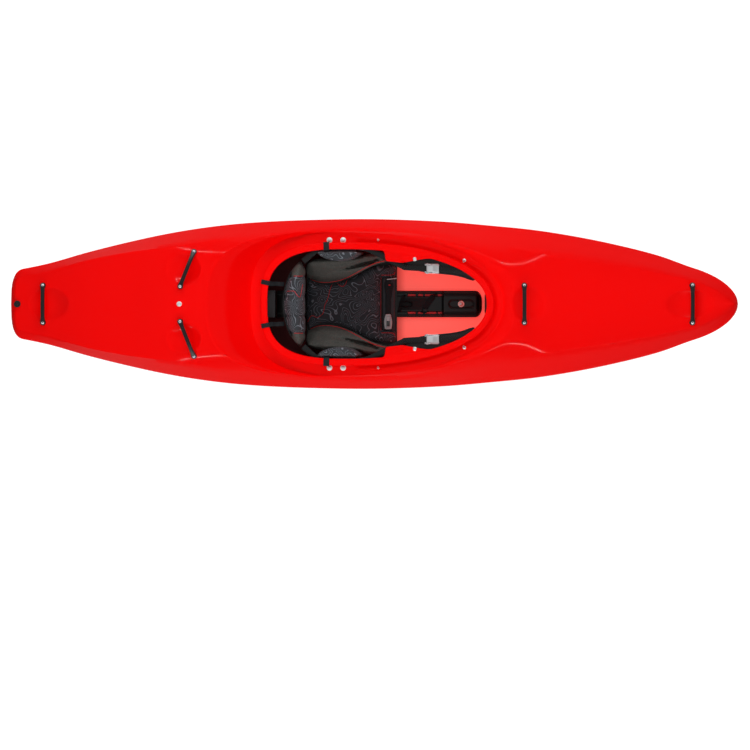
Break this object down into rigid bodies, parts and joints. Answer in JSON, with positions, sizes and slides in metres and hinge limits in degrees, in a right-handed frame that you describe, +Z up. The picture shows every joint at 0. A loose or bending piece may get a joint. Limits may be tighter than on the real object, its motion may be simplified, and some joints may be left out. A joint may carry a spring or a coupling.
{
  "type": "whitewater kayak",
  "caption": "Decked plastic whitewater kayak with open cockpit, padded sliding seat, hip pads, backband, thigh braces, footrest, grab handles and a drain plug.",
  "frame": {"origin": "under the middle of the boat's length and beam, on the flat of the bottom", "axes": "+X to the bow, +Y to port, +Z up"},
  "size_m": [2.67, 0.6314, 0.4321],
  "materials": {
    "shell_polyethylene": "gloss",
    "black_plastic": "satin",
    "black_webbing": "matte",
    "stainless_steel": "satin",
    "charcoal_fabric": "matte",
    "stretch_mesh": "matte",
    "black_foam": "matte",
    "black_rubber": "matte"
  },
  "bodies": {
    "hull": {"middle_hull": "shell_polyethylene", "stern_hull": "shell_polyethylene", "bow_hull": "shell_polyethylene", "stern_deck": "shell_polyethylene", "bow_deck": "shell_polyethylene", "cockpit_deck_front_port": "shell_polyethylene", "cockpit_deck_front_starboard": "shell_polyethylene", "cockpit_deck_rear_port": "shell_polyethylene", "cockpit_deck_rear_starboard": "shell_polyethylene", "stern_handle": "black_plastic", "rear_port_handle": "black_plastic", "rear_starboard_handle": "black_plastic", "front_handle": "black_plastic", "bow_handle": "black_plastic", "centre_tray": "black_plastic", "tray_bolt": "stainless_steel", "front_pillar": "black_foam", "rear_pillar": "black_foam", "rear_deck_bolt": "stainless_steel", "hip_plate_port": "charcoal_fabric", "flange_bolt_port": "stainless_steel", "front_bolt_port": "stainless_steel", "rear_rim_strap_port": "black_webbing", "side_rim_strap_port": "black_webbing", "footrest_rail_port": "black_plastic", "hip_plate_starboard": "charcoal_fabric", "flange_bolt_starboard": "stainless_steel", "front_bolt_starboard": "stainless_steel", "rear_rim_strap_starboard": "black_webbing", "side_rim_strap_starboard": "black_webbing", "footrest_rail_starboard": "black_plastic"},
    "seat": {"seat_pan": "black_plastic", "seat_cushion": "charcoal_fabric", "hip_pad_port": "stretch_mesh", "hip_pad_starboard": "stretch_mesh"},
    "leg_lifter": {"leg_lifter": "black_plastic", "lifter_strap": "black_webbing", "lifter_buckle": "stainless_steel"},
    "buckle_lever": {"lifter_buckle_lever": "stainless_steel"},
    "backband": {"backband_pad": "charcoal_fabric", "backband_plate": "black_plastic", "ladder_strap_port": "black_webbing", "ladder_strap_starboard": "black_webbing"},
    "brace_port": {"thigh_brace_port": "black_plastic", "thigh_pad_port": "black_foam", "slot_bolt_port": "stainless_steel", "ratchet_base_port": "stainless_steel"},
    "brace_starboard": {"thigh_brace_starboard": "black_plastic", "thigh_pad_starboard": "black_foam", "slot_bolt_starboard": "stainless_steel", "ratchet_base_starboard": "stainless_steel"},
    "ratchet_lever_port": {"ratchet_lever_port": "stainless_steel"},
    "ratchet_lever_starboard": {"ratchet_lever_starboard": "stainless_steel"},
    "footrest": {"bulkhead_plate": "black_plastic", "bulkhead_foam": "black_foam"},
    "knob_port": {"bulkhead_knob_port": "black_plastic"},
    "knob_starboard": {"bulkhead_knob_starboard": "black_plastic"},
    "drain_seal": {"drain_plug_seal": "black_rubber"},
    "drain_plug": {"drain_plug": "black_plastic"}
  },
  "joints": [
    {"name": "seat_trim", "type": "slide", "parent": "hull", "child": "seat", "axis": [1, 0, 0], "range_m": [0, 0.05]},
    {"name": "lifter_tilt", "type": "hinge", "parent": "seat", "child": "leg_lifter", "pos_m": [0.035, 0, 0.0967], "axis": [0, -1, 0], "range_deg": [0, 20]},
    {"name": "buckle_lever_turn", "type": "hinge", "parent": "leg_lifter", "child": "buckle_lever", "pos_m": [0.0545, -0.0456, 0.1063], "axis": [1, 0, 0], "range_deg": [-80, 0]},
    {"name": "backband_slide", "type": "slide", "parent": "hull", "child": "backband", "axis": [0.9896, 0, 0.144], "range_m": [-0.03, 0]},
    {"name": "thigh_brace_slide_port", "type": "slide", "parent": "hull", "child": "brace_port", "axis": [0.9896, 0, 0.144], "range_m": [-0.012, 0.012]},
    {"name": "thigh_brace_slide_starboard", "type": "slide", "parent": "hull", "child": "brace_starboard", "axis": [0.9896, 0, 0.144], "range_m": [-0.012, 0.012]},
    {"name": "ratchet_lever_turn_port", "type": "hinge", "parent": "brace_port", "child": "ratchet_lever_port", "pos_m": [0.19718, 0.135, 0.32241], "axis": [0, -1, 0], "range_deg": [0, 70]},
    {"name": "ratchet_lever_turn_starboard", "type": "hinge", "parent": "brace_starboard", "child": "ratchet_lever_starboard", "pos_m": [0.19718, -0.135, 0.32241], "axis": [0, -1, 0], "range_deg": [0, 70]},
    {"name": "footrest_slide", "type": "slide", "parent": "hull", "child": "footrest", "axis": [1, 0, 0], "range_m": [-0.06, 0.06]},
    {"name": "clamp_knob_turn_port", "type": "hinge", "parent": "footrest", "child": "knob_port", "pos_m": [0.6463, 0.192, 0.175], "axis": [1, 0, 0], "continuous": true},
    {"name": "clamp_knob_turn_starboard", "type": "hinge", "parent": "footrest", "child": "knob_starboard", "pos_m": [0.6463, -0.192, 0.175], "axis": [1, 0, 0], "continuous": true},
    {"name": "drain_plug_lift", "type": "slide", "parent": "hull", "child": "drain_seal", "axis": [0, 0, 1], "range_m": [0, 0.02]},
    {"name": "drain_plug_turn", "type": "hinge", "parent": "drain_seal", "child": "drain_plug", "pos_m": [-1.31, 0, 0.352], "axis": [0, 0, 1], "range_deg": [0, 1810]}
  ],
  "couplings": [
    {"joint": "drain_plug_turn", "follows": "drain_plug_lift", "rad_per_m": 1570.8}
  ]
}
